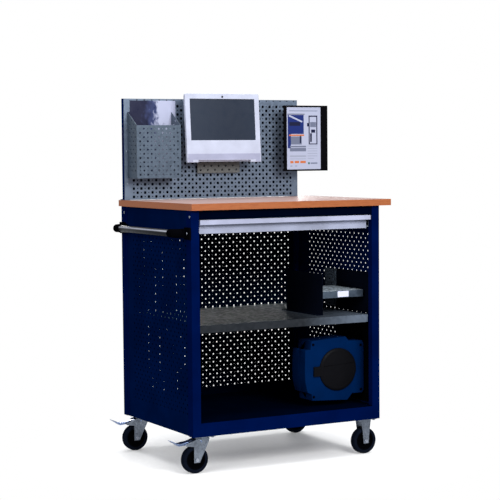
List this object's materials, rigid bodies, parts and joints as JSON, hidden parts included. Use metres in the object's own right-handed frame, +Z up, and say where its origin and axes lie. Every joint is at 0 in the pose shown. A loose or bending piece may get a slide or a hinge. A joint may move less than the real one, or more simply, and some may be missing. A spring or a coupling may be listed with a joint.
{
  "type": "mobile workbench",
  "caption": "Mobile perforated steel workbench on castors with drawer, shelf, push handle, wooden top and an upper panel carrying a screen, a display panel and a document pocket.",
  "frame": {"origin": "on the ground, under the middle of the cabinet", "axes": "+X to the right seen from the drawer side, +Y to the back, +Z up"},
  "size_m": [1.184, 0.79, 1.7346],
  "materials": {
    "blue_paint": "satin powder coat",
    "galvanised": "galvanised sheet",
    "zinc": "zinc plated",
    "beech": "lacquered beech multiplex",
    "drawer_paint": "light grey powder coat",
    "black_plastic": "fine texture",
    "white_plastic": "moulded",
    "screen_glass": "dark panel behind clear cover",
    "page": "printed sheet in a clear sleeve",
    "navy_paint": "satin powder coat",
    "reel_blue": "moulded",
    "tyre_rubber": "elastic rubber"
  },
  "bodies": {
    "cabinet": {"floor_pan": "blue_paint", "base_rails": "blue_paint", "front_posts": "blue_paint", "rear_posts": "blue_paint", "side_sheet_left": "blue_paint", "side_sheet_right": "blue_paint", "back_sheet": "blue_paint", "top_rails": "blue_paint", "worktop": "beech", "shelf": "galvanised", "shelf_rails": "blue_paint", "frame_screws": "zinc", "handle_tube": "black_plastic", "handle_brackets": "black_plastic", "handle_screws": "zinc", "drawer_slide_rails": "zinc", "upper_sheet": "galvanised", "upper_back_sheet": "blue_paint", "upper_uprights": "blue_paint", "upper_screws": "zinc", "pocket_back": "galvanised", "pocket_front": "galvanised", "screen_mount_plate": "galvanised", "display_bracket": "zinc", "side_shelf": "galvanised", "shelf_dividers": "navy_paint", "side_shelf_bracket": "galvanised", "reel_bracket": "black_plastic", "reel_rear_shell": "reel_blue", "reel_front_shell": "reel_blue", "reel_cover": "black_plastic", "castor_plates": "zinc", "castor_bolts": "zinc", "fixed_forks": "zinc", "fixed_axles": "zinc"},
    "drawer": {"drawer_tray": "galvanised", "drawer_front": "drawer_paint", "drawer_grip_strip": "drawer_paint", "drawer_slide_runners": "zinc"},
    "screen": {"screen_tilt_head": "black_plastic", "screen_rear_cover": "white_plastic", "screen_bezel": "white_plastic", "screen_glass": "screen_glass"},
    "display_panel": {"display_frame": "black_plastic", "display_page": "page"},
    "reel_drum": {"reel_drum": "black_plastic"},
    "fork_front_left": {"fork_front_left": "zinc", "axle_front_left": "zinc"},
    "fork_rear_left": {"fork_rear_left": "zinc", "axle_rear_left": "zinc"},
    "wheel_front_left": {"hub_front_left": "black_plastic", "tyre_front_left": "tyre_rubber"},
    "wheel_rear_left": {"hub_rear_left": "black_plastic", "tyre_rear_left": "tyre_rubber"},
    "wheel_front_right": {"hub_front_right": "black_plastic", "tyre_front_right": "tyre_rubber"},
    "wheel_rear_right": {"hub_rear_right": "black_plastic", "tyre_rear_right": "tyre_rubber"},
    "brake_front_left": {"brake_pedal_front_left": "zinc"},
    "brake_rear_left": {"brake_pedal_rear_left": "zinc"}
  },
  "joints": [
    {"name": "drawer_slide", "type": "slide", "parent": "cabinet", "child": "drawer", "axis": [0, -1, 0], "range_m": [0, 0.45]},
    {"name": "screen_tilt", "type": "hinge", "parent": "cabinet", "child": "screen", "pos_m": [-0.012, 0.295, 1.5555], "axis": [1, 0, 0], "range_deg": [-6, 12]},
    {"name": "display_swivel", "type": "hinge", "parent": "cabinet", "child": "display_panel", "pos_m": [0.432, 0.274, 1.515], "axis": [0, 0, 1], "range_deg": [-40, 30]},
    {"name": "reel_spin", "type": "hinge", "parent": "cabinet", "child": "reel_drum", "pos_m": [0.334, -0.198, 0.406], "axis": [0, 1, 0], "continuous": true},
    {"name": "castor_swivel_front_left", "type": "hinge", "parent": "cabinet", "child": "fork_front_left", "pos_m": [-0.43, -0.322, 0.16], "axis": [0, 0, 1], "continuous": true},
    {"name": "wheel_spin_front_left", "type": "hinge", "parent": "fork_front_left", "child": "wheel_front_left", "pos_m": [-0.468, -0.322, 0.0625], "axis": [0, 1, 0], "continuous": true},
    {"name": "brake_front_left", "type": "hinge", "parent": "fork_front_left", "child": "brake_front_left", "pos_m": [-0.446, -0.322, 0.146], "axis": [0, 1, 0], "range_deg": [-9, 0]},
    {"name": "wheel_spin_front_right", "type": "hinge", "parent": "cabinet", "child": "wheel_front_right", "pos_m": [0.44, -0.322, 0.0625], "axis": [0, 1, 0], "continuous": true},
    {"name": "castor_swivel_rear_left", "type": "hinge", "parent": "cabinet", "child": "fork_rear_left", "pos_m": [-0.43, 0.322, 0.16], "axis": [0, 0, 1], "continuous": true},
    {"name": "wheel_spin_rear_left", "type": "hinge", "parent": "fork_rear_left", "child": "wheel_rear_left", "pos_m": [-0.468, 0.322, 0.0625], "axis": [0, 1, 0], "continuous": true},
    {"name": "brake_rear_left", "type": "hinge", "parent": "fork_rear_left", "child": "brake_rear_left", "pos_m": [-0.446, 0.322, 0.146], "axis": [0, 1, 0], "range_deg": [-9, 0]},
    {"name": "wheel_spin_rear_right", "type": "hinge", "parent": "cabinet", "child": "wheel_rear_right", "pos_m": [0.44, 0.322, 0.0625], "axis": [0, 1, 0], "continuous": true}
  ]
}
